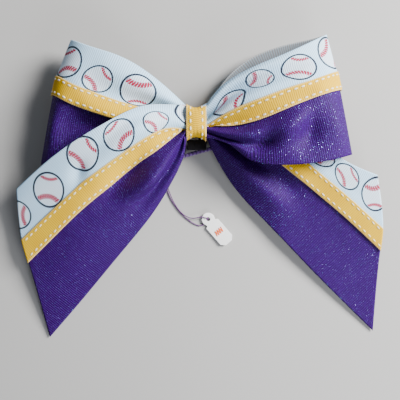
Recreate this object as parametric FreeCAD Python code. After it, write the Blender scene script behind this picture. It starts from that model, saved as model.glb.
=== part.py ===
import FreeCAD, Part
import math
import os

# Cheer hair bow: three lapped ribbons folded into two loops and two tails, cinched at the
# middle, wrapped with a stitched ribbon and carried on a hair elastic. Millimetres, +Z up.
# The bow lies on its back: z = 0 is the plane it rests on, +Y is towards the white edge.

# Ribbons
STRIP_WIDTH = 57.15
PURPLE_WIDTH = 38.1
YELLOW_WIDTH = 9.525
WHITE_LAP = 3.15
CLOTH = 0.5
LAP_RAMP = 6.5

# Heights of the three cinched layers, back to front
BACK_Z = 6.5
MIDDLE_Z = 10.1
FRONT_Z = 13.7

# Places along a panel at which its surface is read
STATIONS = 17

# Pleats
PLEAT_WAVES = 1.5
PLEAT_PHASE = 0.6
ROOT_PLEAT = 0.9
KNOT_PLEAT = 0.6
PLEAT_REACH = 0.5

# Knot
WRAP_X0 = -5.1
WRAP_X1 = 4.8
WRAP_THICK = 0.6
WRAP_TOP = 17.0
WRAP_SIDE = 7.0
WRAP_SHIFT = 0.5
WRAP_FLARE = 1.4
WRAP_FLAT = 4.6
WRAP_SIDE_LOW = 4.6
WRAP_SIDE_HIGH = 11.0
WRAP_CROWN = 0.5
BACK_TRIM = 0.3
GATHER_X = 5.0
GATHER_HALF = 4.6
GATHER_FLARE = 2.4

# Cinch tie
TIE_X = 2.0
TIE_WIDTH = 3.4
TIE_THICK = 0.9
TIE_SIDE = 6.2
TIE_LOW = 4.0
TIE_HIGH = 16.1
TIE_ROUND = (0.8, 1.6)
TIE_HEAD = (8.2, 5.0, 4.2)
TIE_HEAD_CORNER = (-3.6, -12.6, 4.0)
TIE_HEAD_ROUND = 0.7
TIE_NECK = (2.4, 5.0, 2.0)
TIE_NECK_CORNER = (0.8, -10.4, 5.4)
SLOT_ROOM = 0.1

# Hair elastic
ELASTIC_R = 1.1
ELASTIC_Z = 2.3
ELASTIC_BEND = 9.0
ELASTIC_PLAN = ((-27, 1.0), (37, 1.0), (36, -3.5), (-27, -21.1), (-36, -19), (-37, -8))

# Price tag and its thread
TAG_LENGTH = 19.3
TAG_WIDTH = 7.8
TAG_THICK = 0.4
TAG_Z = 0.75
TAG_HOLE_R = 1.0
TAG_HOLE = (5.9, -47.6)
TAG_TURN = -48.8
TAG_HEAD = 3.3
TAG_NECK = 2.9
TAG_CHAMFER = 1.9
THREAD_R = 0.25
THREAD_BEND = 3.0

# The thread runs from above the elastic to the tag, through its hole and back under the elastic
THREAD_POINTS = (
    (-18.6, -16.6, 1.2), (-18.2, -17.6, 3.8), (-17.6, -20.4, 3.4), (-16.4, -25.5, 0.9),
    (-14.4, -32.9, 0.6), (-11.9, -39.0, 0.6), (-8.1, -44.6, 0.7), (-3.4, -47.3, 0.9),
    (0.4, -46.9, 1.6), (2.6, -46.3, 1.8), (5.8, -47.3, 1.8), (5.8, -47.3, 0.4),
    (3.6, -50.6, 0.35), (1.2, -51.3, 0.35), (-3.6, -48.9, 0.35), (-8.9, -44.1, 0.35),
    (-12.9, -38.5, 0.35), (-15.5, -32.2, 0.35), (-17.6, -24.8, 0.4), (-18.9, -20.6, 0.55),
    (-19.6, -17.4, 0.6))

# Where the four ribbon borders lie across the strip, purple edge first
BORDERS = (0.0, PURPLE_WIDTH - YELLOW_WIDTH, PURPLE_WIDTH, STRIP_WIDTH)

# Each section: purple edge, purple/yellow border, yellow/white border, white edge.
# Points run from the knot outwards; a loop runs out along its front, round the fold
# and back along its rear face.
LEFT_TAIL = (
    ((-5.6, -7.6, FRONT_Z), (-6.2, -16, 12), (-12, -29.3, 9.5), (-23, -46, 7), (-39, -65.4, 5),
     (-57, -87, 3), (-75.2, -108, 0.8)),
    ((-5.6, -3.9, FRONT_Z), (-13, -9.5, 15.5), (-24, -18.8, 17.5), (-37.2, -28, 16), (-53, -40, 14),
     (-69.1, -54.8, 10), (-84.4, -69.2, 6)),
    ((-5.6, -2.6, FRONT_Z), (-15, -3, 17.5), (-27, -9.5, 21.5), (-41.8, -19.6, 20), (-56, -30.3, 17),
     (-72, -43.8, 12), (-87.2, -57.3, 7.5)),
    ((-5.6, 8.6, FRONT_Z), (-15, 7.8, 19), (-27, 5.5, 25), (-42, -2.2, 27.5), (-58, -11.2, 25),
     (-73, -20.9, 19.5), (-88.1, -32.3, 12.5)))

RIGHT_TAIL = (
    ((5.6, -7.6, MIDDLE_Z), (9, -15.5, 9.3), (19, -31.5, 7.5), (31, -45, 5.8), (46, -60.4, 4.3),
     (63, -78, 2.8), (90.2, -104.8, 0.8)),
    ((5.6, -1.6, MIDDLE_Z), (17, -5, 10.3), (30, -11, 10.2), (43.5, -21, 9.8), (58, -33, 8.8),
     (74.6, -46.9, 7.6), (92.4, -63.2, 5.5)),
    ((5.6, 2.2, MIDDLE_Z), (18, 1.5, 10.8), (32, -3.3, 11.4), (46, -12, 11.6), (58, -22, 11.2),
     (74, -35.2, 10.2), (92.8, -51.7, 7.8)),
    ((5.6, 7.6, MIDDLE_Z), (19, 8.3, 11.4), (33, 6.2, 12.2), (47.5, 1.6, 12.8), (60, -7, 13),
     (71, -17.5, 13), (88.8, -25.5, 11.8)))

LEFT_LOOP = (
    ((-5.6, -7.6, MIDDLE_Z), (-20, -11, 13), (-37, -14.5, 15.5), (-54, -17.5, 16.5), (-67, -19.4, 16.2),
     (-73.6, -20.2, 14.6), (-76.4, -20.6, 11.4), (-73.4, -20.2, 8.4), (-64, -20, 6.8), (-48, -20.5, 6.4),
     (-30, -18.5, 6.4), (-16, -13, 6.8), (-5.6, -7.6, BACK_Z)),
    ((-5.6, -1.6, MIDDLE_Z), (-20, 0, 15), (-36, 0.5, 19.5), (-50, 4.3, 20.6), (-60.6, 8.2, 20.2),
     (-67.2, 11.9, 17.2), (-70.2, 13, 12), (-67, 12, 8.4), (-58, 9, 6.8), (-44, 5, 6.4),
     (-28, 2, 6.4), (-16, 0, 6.8), (-5.6, -1.6, BACK_Z)),
    ((-5.6, 2.2, MIDDLE_Z), (-19, 4.5, 15.5), (-34, 8, 20), (-48, 12.8, 21), (-58.4, 17.2, 20.4),
     (-65, 21, 17.2), (-68, 22.4, 12), (-64.6, 20.8, 8.4), (-56, 17, 6.8), (-43, 12, 6.4),
     (-28, 7.5, 6.4), (-16, 4, 6.8), (-5.6, 2.2, BACK_Z)),
    ((-5.6, 9.0, MIDDLE_Z), (-14.8, 16.9, 14.5), (-26, 25, 18.5), (-38, 31, 20.4), (-50, 35, 20.2),
     (-58, 38.6, 17), (-61.4, 40.2, 12), (-57, 38, 8.4), (-48, 34, 6.8), (-37, 28.5, 6.4),
     (-25, 21.5, 6.4), (-14, 14, 6.8), (-5.6, 8.2, BACK_Z)))

RIGHT_LOOP = (
    ((5.6, -7.6, FRONT_Z), (16.3, -10.6, 16), (26, -18.6, 18.6), (42, -21.2, 21.6), (60, -19.6, 22),
     (72, -16.8, 18), (75.9, -15.6, 12.4), (72.5, -16.4, 8.6), (62, -19.6, 6.8), (46, -22, 6.4),
     (30, -20, 6.4), (16, -13.5, 6.8), (5.6, -7.6, BACK_Z)),
    ((5.6, -2.2, FRONT_Z), (18.9, -2.6, 18.5), (33, 0.9, 22.5), (46, 6.2, 24), (57.4, 10.9, 23),
     (66.4, 14.2, 18.6), (70, 15.6, 12.4), (66, 14, 8.6), (57, 10.5, 6.8), (44, 6, 6.4),
     (30, 2.2, 6.4), (17, 0, 6.8), (5.6, -1.6, BACK_Z)),
    ((5.6, -0.6, FRONT_Z), (17, 5.4, 18.5), (30, 10.3, 22.6), (43, 14.9, 24.2), (55.6, 19, 23.2),
     (64.4, 22.8, 18.6), (68.1, 24.6, 12.4), (64.2, 23, 8.6), (56, 20, 6.8), (43, 16, 6.4),
     (29, 10.5, 6.4), (17, 5, 6.8), (5.6, 2.2, BACK_Z)),
    ((5.6, 9.2, FRONT_Z), (13.5, 17.6, 18), (26, 24.3, 22), (38, 29, 24), (50, 34.6, 23),
     (60, 40.4, 18), (63.2, 43, 12.4), (57.6, 42.2, 9), (46, 40, 7.6), (35.4, 36.9, 7),
     (24, 31.2, 7), (13.4, 21, 7.4), (5.6, 8.4, BACK_Z)))

LOOP_FRONT_SHARE = 0.5


def smooth(x):
    x = max(0.0, min(1.0, x))
    return x * x * (3.0 - 2.0 * x)


def vector(point):
    return FreeCAD.Vector(*point)


def border_curves(section):
    """One smooth curve for each of the section's four ribbon borders."""
    curves = []
    for points in section:
        curve = Part.BSplineCurve()
        steps = [i / (len(points) - 1.0) for i in range(len(points))]
        curve.interpolate(Points=[vector(p) for p in points], Parameters=steps)
        curves.append(curve)
    return curves


def pleat_height(u, v, first_end, last_end):
    """Pleats are deepest at an end held by the knot and die away from it."""
    near = 0.0
    if first_end:
        near = max(near, 1.0 - smooth(u / PLEAT_REACH))
    if last_end:
        near = max(near, 1.0 - smooth((1.0 - u) / PLEAT_REACH))
    turn = 2.0 * math.pi * PLEAT_WAVES * v / STRIP_WIDTH + PLEAT_PHASE
    return ROOT_PLEAT * near * near * math.sin(turn)


def middle_point(curves, u, v, is_loop):
    """A point of the strip's middle surface, before any layer offset."""
    across = Part.BSplineCurve()
    across.interpolate(Points=[c.value(u) for c in curves], Parameters=list(BORDERS))
    height = pleat_height(u, v, True, is_loop)
    return across.value(v) + FreeCAD.Vector(0, 0, height)


def surface_normal(curves, u, v, outward, is_loop):
    """The direction the printed side faces."""
    step_u = 0.01
    step_v = 0.4
    u0 = max(0.0, u - step_u)
    u1 = min(1.0, u + step_u)
    v0 = max(0.0, v - step_v)
    v1 = min(STRIP_WIDTH, v + step_v)
    along = middle_point(curves, u1, v, is_loop) - middle_point(curves, u0, v, is_loop)
    across = middle_point(curves, u, v1, is_loop) - middle_point(curves, u, v0, is_loop)
    return along.cross(across).normalize() * outward


def layer_offset(ribbon, v):
    """How far a ribbon's middle lies above the strip's, towards the printed side.
    The white laps over the purple, and the yellow lies over both."""
    if ribbon == "purple":
        return 0.0
    if ribbon == "yellow":
        return 2.0 * CLOTH
    return CLOTH * (1.0 - smooth((v - PURPLE_WIDTH) / LAP_RAMP))


def ribbon_span(ribbon):
    if ribbon == "purple":
        return 0.0, PURPLE_WIDTH
    if ribbon == "yellow":
        return PURPLE_WIDTH - YELLOW_WIDTH, PURPLE_WIDTH
    return PURPLE_WIDTH - WHITE_LAP, STRIP_WIDTH


def closed_skin(upper, lower):
    """A solid between two matching grids of points."""
    faces = []
    surfaces = []
    for grid in (upper, lower):
        surface = Part.BSplineSurface()
        surface.interpolate(grid)
        surfaces.append(surface)
        faces.append(surface.toShape())
    for border in ("uIso", "vIso"):
        for end in (0.0, 1.0):
            wires = [Part.Wire([getattr(s, border)(end).toShape()]) for s in surfaces]
            faces.extend(Part.makeLoft(wires, False, True).Faces)
    sewn = Part.Compound(faces)
    sewn.sewShape()
    solid = Part.Solid(sewn.Shells[0])
    if solid.Volume < 0:
        solid.reverse()
    return solid


def ribbon_panel(section, ribbon, u0, u1, outward, is_loop, stations, columns):
    """One ribbon of one section, from u0 to u1 along it."""
    curves = border_curves(section)
    v0, v1 = ribbon_span(ribbon)
    upper = []
    lower = []
    for i in range(stations):
        u = u0 + (u1 - u0) * i / (stations - 1.0)
        top_row = []
        low_row = []
        for j in range(columns):
            v = v0 + (v1 - v0) * j / (columns - 1.0)
            middle = middle_point(curves, u, v, is_loop)
            normal = surface_normal(curves, u, v, outward, is_loop)
            offset = layer_offset(ribbon, v)
            top_row.append(middle + normal * (offset + CLOTH / 2.0))
            low_row.append(middle + normal * (offset - CLOTH / 2.0))
        upper.append(top_row)
        lower.append(low_row)
    return closed_skin(upper, lower)


def knot_outline(x, inset):
    """The wrap's section at x: flat on the rest plane, waisted towards its middle."""
    middle = (WRAP_X0 + WRAP_X1) / 2.0
    half = (WRAP_X1 - WRAP_X0) / 2.0
    flare = WRAP_FLARE * ((x - middle) / half) ** 2
    side = WRAP_SIDE + flare - inset
    top = WRAP_TOP - inset
    base = inset if inset > 0 else -BACK_TRIM
    flat = WRAP_FLAT - inset
    left = [(-flat, base), (-side, WRAP_SIDE_LOW), (-side, WRAP_SIDE_HIGH), (-flat, top)]
    right = [(flat, top), (side, WRAP_SIDE_HIGH), (side, WRAP_SIDE_LOW), (flat, base)]
    edges = []
    bottom = [vector((x, -flat, base)), vector((x, flat, base))]
    edges.append(Part.LineSegment(bottom[1], bottom[0]).toShape())
    path = left + [(0.0, top + WRAP_CROWN)] + right
    curve = Part.BSplineCurve()
    curve.interpolate([vector((x, y, z)) for y, z in path])
    edges.append(curve.toShape())
    outline = Part.Wire(edges)
    outline.translate(FreeCAD.Vector(0, WRAP_SHIFT, 0))
    return outline


def knot_wrap():
    """A stitched ribbon round the pleats, its back trimmed to the flat that the bow lies on."""
    middle = (WRAP_X0 + WRAP_X1) / 2.0
    outer = [knot_outline(x, 0.0) for x in (WRAP_X0, middle, WRAP_X1)]
    inner = [knot_outline(x, WRAP_THICK) for x in (WRAP_X0 - 0.5, middle, WRAP_X1 + 0.5)]
    band = Part.makeLoft(outer, True).cut(Part.makeLoft(inner, True))
    below = Part.makeBox(60, 60, 20, FreeCAD.Vector(-30, -30, -20))
    return band.cut(tie_neck(SLOT_ROOM)).cut(below)


def tie_neck(room):
    """The tongue that joins the tie's head to its band; the wrap is slotted for it."""
    corner = [c - room for c in TIE_NECK_CORNER]
    size = [c + 2.0 * room for c in TIE_NECK]
    return Part.makeBox(size[0], size[1], size[2], vector(corner))


def rounded_block(size, corner, radius):
    block = Part.makeBox(size[0], size[1], size[2], vector(corner))
    return block.makeFillet(radius, block.Edges)


def tie_wire(x, inset):
    side = TIE_SIDE - inset
    low = TIE_LOW + inset
    high = TIE_HIGH - inset
    middle = (TIE_LOW + TIE_HIGH) / 2.0
    near_side = side - TIE_ROUND[0]
    near_low = low + TIE_ROUND[1]
    near_high = high - TIE_ROUND[1]
    points = [(0, low), (-near_side, near_low), (-side, middle), (-near_side, near_high),
              (0, high), (near_side, near_high), (side, middle), (near_side, near_low)]
    curve = Part.BSplineCurve()
    curve.interpolate([vector((x, y, z)) for y, z in points], PeriodicFlag=True)
    return Part.Wire([curve.toShape()])


def cinch_tie():
    """A flat band round the pleats; its square head shows just below the knot."""
    x0 = TIE_X - TIE_WIDTH / 2.0
    push = FreeCAD.Vector(TIE_WIDTH, 0, 0)
    outer = Part.Face(tie_wire(x0, 0.0)).extrude(push)
    inner = Part.Face(tie_wire(x0, TIE_THICK)).extrude(push)
    neck = tie_neck(0.0).cut(Part.Face(tie_wire(x0, TIE_THICK / 2.0)).extrude(push))
    head = rounded_block(TIE_HEAD, TIE_HEAD_CORNER, TIE_HEAD_ROUND)
    return outer.cut(inner).fuse([neck, head]).removeSplitter()


def tube_round(points, radius, bend, closed):
    """A round tube of straight runs joined by arcs of one bend radius or less."""
    count = len(points)
    corners = range(count) if closed else range(1, count - 1)
    starts = {}
    ends = {}
    solids = []
    for i in corners:
        before = points[i - 1]
        here = points[i]
        after = points[(i + 1) % count]
        run_in = (before - here)
        run_out = (after - here)
        turn = math.pi - run_in.getAngle(run_out)
        short = min(run_in.Length, run_out.Length)
        tangent = min(0.45 * short, bend * math.tan(turn / 2.0))
        arc_r = tangent / math.tan(turn / 2.0)
        a = here + run_in.normalize() * tangent
        b = here + run_out.normalize() * tangent
        axis = run_in.cross(run_out).normalize()
        inward = (run_in + run_out).normalize()
        centre = here + inward * (arc_r / math.cos(turn / 2.0))
        spoke = a - centre
        circle = Part.makeCircle(radius, a, run_in)
        face = Part.Face(Part.Wire([circle]))
        sense = 1.0 if axis.cross(spoke).dot(run_in * -1.0) > 0 else -1.0
        solids.append(face.revolve(centre, axis * sense, math.degrees(turn)))
        starts[i] = a
        ends[i] = b
    last = count if closed else count - 1
    for i in range(last):
        j = (i + 1) % count
        a = ends.get(i, points[i])
        b = starts.get(j, points[j])
        run = b - a
        if run.Length > 1e-6:
            solids.append(Part.makeCylinder(radius, run.Length, a, run))
    tube = solids[0].multiFuse(solids[1:]) if len(solids) > 1 else solids[0]
    return tube.removeSplitter()


def hair_elastic():
    """A closed ring lying flat under the bow, passing through the wrap behind the pleats."""
    points = [FreeCAD.Vector(x, y, ELASTIC_Z) for x, y in ELASTIC_PLAN]
    return tube_round(points, ELASTIC_R, ELASTIC_BEND, True)


def tag_thread():
    return tube_round([vector(p) for p in THREAD_POINTS], THREAD_R, THREAD_BEND, False)


def price_tag():
    """A card tag: round hole head, shouldered neck, chamfered foot."""
    half = TAG_WIDTH / 2.0
    foot = TAG_LENGTH - TAG_HEAD
    cut = foot - TAG_CHAMFER
    side = half - TAG_CHAMFER
    waist = (TAG_NECK - 0.6, half - 1.3)
    shoulder = TAG_NECK + 0.5
    outline = [waist, (shoulder, half), (cut, half), (foot, side),
               (foot, -side), (cut, -half), (shoulder, -half), (waist[0], -waist[1])]
    start = vector((outline[0][0], outline[0][1], 0))
    end = vector((outline[-1][0], outline[-1][1], 0))
    edges = []
    for a, b in zip(outline, outline[1:]):
        edges.append(Part.LineSegment(vector((a[0], a[1], 0)), vector((b[0], b[1], 0))).toShape())
    edges.append(Part.Arc(end, vector((-TAG_HEAD, 0, 0)), start).toShape())
    card = Part.Face(Part.Wire(edges)).extrude(FreeCAD.Vector(0, 0, TAG_THICK))
    hole = Part.makeCylinder(TAG_HOLE_R, 3.0, FreeCAD.Vector(0, 0, -1))
    card = card.cut(hole)
    card.rotate(FreeCAD.Vector(0, 0, 0), FreeCAD.Vector(0, 0, 1), TAG_TURN)
    card.translate(FreeCAD.Vector(TAG_HOLE[0], TAG_HOLE[1], TAG_Z))
    return card


def gather_layer(ribbon, z, outward):
    """One ribbon of one strip where it passes through the wrap."""
    rows_up = []
    rows_low = []
    v0, v1 = ribbon_span(ribbon)
    for place in (-1.0, -0.5, 0.0, 0.5, 1.0):
        x = GATHER_X * place
        half = GATHER_HALF + GATHER_FLARE * place ** 2
        up = []
        low = []
        for j in range(12):
            v = v0 + (v1 - v0) * j / 11.0
            y = half * (2.0 * v / STRIP_WIDTH - 1.0)
            turn = 2.0 * math.pi * PLEAT_WAVES * v / STRIP_WIDTH + PLEAT_PHASE
            height = z + KNOT_PLEAT * math.sin(turn) + outward * layer_offset(ribbon, v) * 0.5
            up.append(FreeCAD.Vector(x, y, height + CLOTH / 2.0))
            low.append(FreeCAD.Vector(x, y, height - CLOTH / 2.0))
        rows_up.append(up)
        rows_low.append(low)
    return closed_skin(rows_up, rows_low)


def gather(ribbon):
    """The back, middle and front layers, pinched together under the wrap."""
    layers = ((BACK_Z, -1), (MIDDLE_Z, 1), (FRONT_Z, 1))
    return Part.makeCompound([gather_layer(ribbon, z, outward) for z, outward in layers])


def save(name, shape):
    shape.exportStep("parts/%s.step" % name)
    box = shape.BoundBox
    print("%-26s valid %s  vol %8.1f  x %6.1f %6.1f  y %6.1f %6.1f  z %5.2f %5.2f" % (
        name, shape.isValid(), shape.Volume, box.XMin, box.XMax, box.YMin, box.YMax, box.ZMin, box.ZMax))


def main():
    os.makedirs("parts", exist_ok=True)
    for ribbon, columns in (("purple", 13), ("yellow", 6), ("white", 12)):
        save("left_tail_" + ribbon, ribbon_panel(LEFT_TAIL, ribbon, 0, 1, -1, False, STATIONS, columns))
        save("right_tail_" + ribbon, ribbon_panel(RIGHT_TAIL, ribbon, 0, 1, 1, False, STATIONS, columns))
        for side, section, outward in (("left", LEFT_LOOP, -1), ("right", RIGHT_LOOP, 1)):
            for part, u0, u1 in (("front", 0, LOOP_FRONT_SHARE), ("back", LOOP_FRONT_SHARE, 1)):
                name = "%s_loop_%s_%s" % (side, part, ribbon)
                save(name, ribbon_panel(section, ribbon, u0, u1, outward, True, STATIONS, columns))
        save("gather_" + ribbon, gather(ribbon))
    save("knot_wrap", knot_wrap())
    save("cinch_tie", cinch_tie())
    save("hair_elastic", hair_elastic())
    save("price_tag", price_tag())
    save("tag_thread", tag_thread())


main()
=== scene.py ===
"""Cheer hair bow: three lapped ribbons, two loops, two tails, a stitched knot wrap, a hair
elastic, a cinch tie and a string tag. Lengths are in millimetres until MM turns them into metres."""

import math

import bmesh
import bpy
import numpy as np
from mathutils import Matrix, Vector

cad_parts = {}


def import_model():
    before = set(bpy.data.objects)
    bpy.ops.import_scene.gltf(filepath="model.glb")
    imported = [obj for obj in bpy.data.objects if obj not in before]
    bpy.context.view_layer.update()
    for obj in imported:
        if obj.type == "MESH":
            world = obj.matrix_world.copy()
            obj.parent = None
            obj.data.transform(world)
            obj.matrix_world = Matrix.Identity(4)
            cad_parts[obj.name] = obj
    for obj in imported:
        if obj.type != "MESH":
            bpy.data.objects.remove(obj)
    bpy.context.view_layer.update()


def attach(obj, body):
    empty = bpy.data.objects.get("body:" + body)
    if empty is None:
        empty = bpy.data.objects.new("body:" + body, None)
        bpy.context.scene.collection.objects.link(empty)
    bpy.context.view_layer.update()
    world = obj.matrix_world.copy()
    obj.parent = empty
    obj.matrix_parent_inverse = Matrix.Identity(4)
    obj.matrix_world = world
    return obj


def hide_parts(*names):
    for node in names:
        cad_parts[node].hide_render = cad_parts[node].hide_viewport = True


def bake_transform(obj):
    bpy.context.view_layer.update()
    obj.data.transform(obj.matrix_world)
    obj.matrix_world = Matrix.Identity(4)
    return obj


MM = 0.001
SAME_POINT = 1e-7

# The strip and its ribbons: how far the white laps on the purple, and over what width it
# comes down from it, how thick the cloth is and how far one ribbon lies above the next
STRIP_WIDTH = 57.15
PURPLE_WIDTH = 38.1
YELLOW_WIDTH = 9.525
WHITE_LAP = 3.15
LAP_RAMP = 6.5
CLOTH = 0.42
LAYER = 0.46
LOWEST = 0.35
RIB_PITCH = 1.0
WARP_PITCH = 0.35
WEAVE_DEPTH = 0.00014

# Saddle stitches: spacing, distance from the edge, and the shape of one stitch
STITCH_PITCH = 3.5
STITCH_INSET = 1.9
STITCH_HALF = 0.95
STITCH_PLACES = np.array([0.0, 0.16, 0.5, 1.0, 1.5, 1.84, 2.0])
STITCH_FATNESS = np.array([0.12, 0.55, 0.9, 1.0, 0.9, 0.55, 0.12])
STITCH_WIDE = 0.46
STITCH_TALL = 0.22
STITCH_RISE = 0.06

# Half the width of the knot, and how the strip goes on inside it: rows of the grid, share of
# the way to the middle, share of width and height lost
KNOT_MOUTH = 5.6
TUCK_ROWS = 8
LOOP_TUCK = 0.93
TAIL_TUCK = 0.40
TUCK_NARROWS = 0.30
TUCK_FLATTENS = 0.5

# The material slots of a ribbon
FACE = 0
BACK = 1
STITCH = 2

# How finely the surfaces are divided
LOOP_ROWS = 150
TAIL_ROWS = 170
COLUMN_WIDTH = 0.7

# Heights of the three cinched layers, back to front
BACK_Z = 6.5
MIDDLE_Z = 10.1
FRONT_Z = 13.7

# Where the four ribbon borders lie across the strip, purple edge first
BORDERS = (0.0, PURPLE_WIDTH - YELLOW_WIDTH, PURPLE_WIDTH, STRIP_WIDTH)
SPANS = {
    "purple": (0.0, PURPLE_WIDTH),
    "yellow": (PURPLE_WIDTH - YELLOW_WIDTH, PURPLE_WIDTH),
    "white": (PURPLE_WIDTH - WHITE_LAP, STRIP_WIDTH),
}

# Each section: purple edge, purple/yellow border, yellow/white border, white edge.
LEFT_TAIL = (
    ((-5.6, -7.6, FRONT_Z), (-6.2, -16, 12), (-12, -29.3, 9.5), (-23, -46, 7), (-39, -65.4, 5),
     (-57, -87, 3), (-75.2, -108, 0.8)),
    ((-5.6, -3.9, FRONT_Z), (-13, -9.5, 15.5), (-24, -18.8, 17.5), (-37.2, -28, 16), (-53, -40, 14),
     (-69.1, -54.8, 10), (-84.4, -69.2, 6)),
    ((-5.6, -2.6, FRONT_Z), (-15, -3, 17.5), (-27, -9.5, 21.5), (-41.8, -19.6, 20), (-56, -30.3, 17),
     (-72, -43.8, 12), (-87.2, -57.3, 7.5)),
    ((-5.6, 8.6, FRONT_Z), (-15, 7.8, 19), (-27, 5.5, 25), (-42, -2.2, 27.5), (-58, -11.2, 25),
     (-73, -20.9, 19.5), (-88.1, -32.3, 12.5)))

RIGHT_TAIL = (
    ((5.6, -7.6, MIDDLE_Z), (9, -15.5, 9.3), (19, -31.5, 7.5), (31, -45, 5.8), (46, -60.4, 4.3),
     (63, -78, 2.8), (90.2, -104.8, 0.8)),
    ((5.6, -1.6, MIDDLE_Z), (17, -5, 10.3), (30, -11, 10.2), (43.5, -21, 9.8), (58, -33, 8.8),
     (74.6, -46.9, 7.6), (92.4, -63.2, 5.5)),
    ((5.6, 2.2, MIDDLE_Z), (18, 1.5, 10.8), (32, -3.3, 11.4), (46, -12, 11.6), (58, -22, 11.2),
     (74, -35.2, 10.2), (92.8, -51.7, 7.8)),
    ((5.6, 7.6, MIDDLE_Z), (19, 8.3, 11.4), (33, 6.2, 12.2), (47.5, 1.6, 12.8), (60, -7, 13),
     (71, -17.5, 13), (88.8, -25.5, 11.8)))

LEFT_LOOP = (
    ((-5.6, -7.6, MIDDLE_Z), (-20, -11, 13), (-37, -14.5, 15.5), (-54, -17.5, 16.5), (-67, -19.4, 16.2),
     (-73.6, -20.2, 14.6), (-76.4, -20.6, 11.4), (-73.4, -20.2, 8.4), (-64, -20, 6.8), (-48, -20.5, 6.4),
     (-30, -18.5, 6.4), (-16, -13, 6.8), (-5.6, -7.6, BACK_Z)),
    ((-5.6, -1.6, MIDDLE_Z), (-20, 0, 15), (-36, 0.5, 19.5), (-50, 4.3, 20.6), (-60.6, 8.2, 20.2),
     (-67.2, 11.9, 17.2), (-70.2, 13, 12), (-67, 12, 8.4), (-58, 9, 6.8), (-44, 5, 6.4),
     (-28, 2, 6.4), (-16, 0, 6.8), (-5.6, -1.6, BACK_Z)),
    ((-5.6, 2.2, MIDDLE_Z), (-19, 4.5, 15.5), (-34, 8, 20), (-48, 12.8, 21), (-58.4, 17.2, 20.4),
     (-65, 21, 17.2), (-68, 22.4, 12), (-64.6, 20.8, 8.4), (-56, 17, 6.8), (-43, 12, 6.4),
     (-28, 7.5, 6.4), (-16, 4, 6.8), (-5.6, 2.2, BACK_Z)),
    ((-5.6, 9.0, MIDDLE_Z), (-14.8, 16.9, 14.5), (-26, 25, 18.5), (-38, 31, 20.4), (-50, 35, 20.2),
     (-58, 38.6, 17), (-61.4, 40.2, 12), (-57, 38, 8.4), (-48, 34, 6.8), (-37, 28.5, 6.4),
     (-25, 21.5, 6.4), (-14, 14, 6.8), (-5.6, 8.2, BACK_Z)))

RIGHT_LOOP = (
    ((5.6, -7.6, FRONT_Z), (16.3, -10.6, 16), (26, -18.6, 18.6), (42, -21.2, 21.6), (60, -19.6, 22),
     (72, -16.8, 18), (75.9, -15.6, 12.4), (72.5, -16.4, 8.6), (62, -19.6, 6.8), (46, -22, 6.4),
     (30, -20, 6.4), (16, -13.5, 6.8), (5.6, -7.6, BACK_Z)),
    ((5.6, -2.2, FRONT_Z), (18.9, -2.6, 18.5), (33, 0.9, 22.5), (46, 6.2, 24), (57.4, 10.9, 23),
     (66.4, 14.2, 18.6), (70, 15.6, 12.4), (66, 14, 8.6), (57, 10.5, 6.8), (44, 6, 6.4),
     (30, 2.2, 6.4), (17, 0, 6.8), (5.6, -1.6, BACK_Z)),
    ((5.6, -0.6, FRONT_Z), (17, 5.4, 18.5), (30, 10.3, 22.6), (43, 14.9, 24.2), (55.6, 19, 23.2),
     (64.4, 22.8, 18.6), (68.1, 24.6, 12.4), (64.2, 23, 8.6), (56, 20, 6.8), (43, 16, 6.4),
     (29, 10.5, 6.4), (17, 5, 6.8), (5.6, 2.2, BACK_Z)),
    ((5.6, 9.2, FRONT_Z), (13.5, 17.6, 18), (26, 24.3, 22), (38, 29, 24), (50, 34.6, 23),
     (60, 40.4, 18), (63.2, 43, 12.4), (57.6, 42.2, 9), (46, 40, 7.6), (35.4, 36.9, 7),
     (24, 31.2, 7), (13.4, 21, 7.4), (5.6, 8.4, BACK_Z)))

# Pleats as ridges and valleys: (place across the strip in mm, height between -1 and 1).
# Their depth is found row by row, so that the folded row measures PLEAT_FILL of the strip's
# width, and is then evened out along the strip and eased off at the knot
DEEPEST_PLEAT = 3.6
PLEAT_FILL = 0.97
PLEAT_COLUMNS = 116
PLEAT_HALVINGS = 14
PLEAT_SOFT_ROWS = 12
PLEAT_SOFT_SPREAD = 5.0
PLEAT_EASE = 9.0
PLEATS = {
    "left_tail": (
        (0, -0.5), (5, 0.3), (12, -0.7), (22, 0.9), (33, -1.0), (44, 0.8), (51, -0.2),
        (57.15, 0.1)),
    "right_tail": (
        (0, -0.9), (6, 0.2), (13, 0.9), (22, -1.0), (32, 0.9), (39, -1.0), (48, 0.9),
        (57.15, -0.6)),
    "left_loop": ((0, -0.8), (9, 0.8), (20, -0.9), (30, 0.8), (40, -0.9), (50, 0.7), (57.15, 0.0)),
    "right_loop": (
        (0, 0.3), (5.5, 0.5), (12, -0.2), (22, 0.9), (32, -1.0), (41, 0.8), (47.5, -0.9),
        (53.5, 0.7), (57.15, 0.2)),
}
BACK_PLEATS = ((0, 0.2), (8, 0.8), (19, -0.9), (30, 0.9), (40, -0.9), (50, 0.8), (57.15, 0.0))

# Soft dents: (place along 0-1, across in mm, half length along, half width in mm, height in mm)
DENTS = {
    "left_tail": (
        (0.66, 43, 0.045, 4.5, -1.9), (0.44, 27.5, 0.13, 4.0, -5.0), (0.40, 18, 0.15, 5.0, 4.2)),
    "left_loop": ((0.30, 17, 0.05, 8.0, -1.8), (0.385, 14, 0.04, 9.0, 1.4)),
    "right_loop": (
        (0.165, 15, 0.030, 8.0, -2.6), (0.235, 15, 0.032, 9.0, 1.6), (0.300, 14, 0.032, 10.0, -2.8),
        (0.385, 13, 0.035, 10.0, 1.6)),
    "right_tail": ((0.45, 16, 0.12, 7.0, 1.2),),
}

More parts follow.
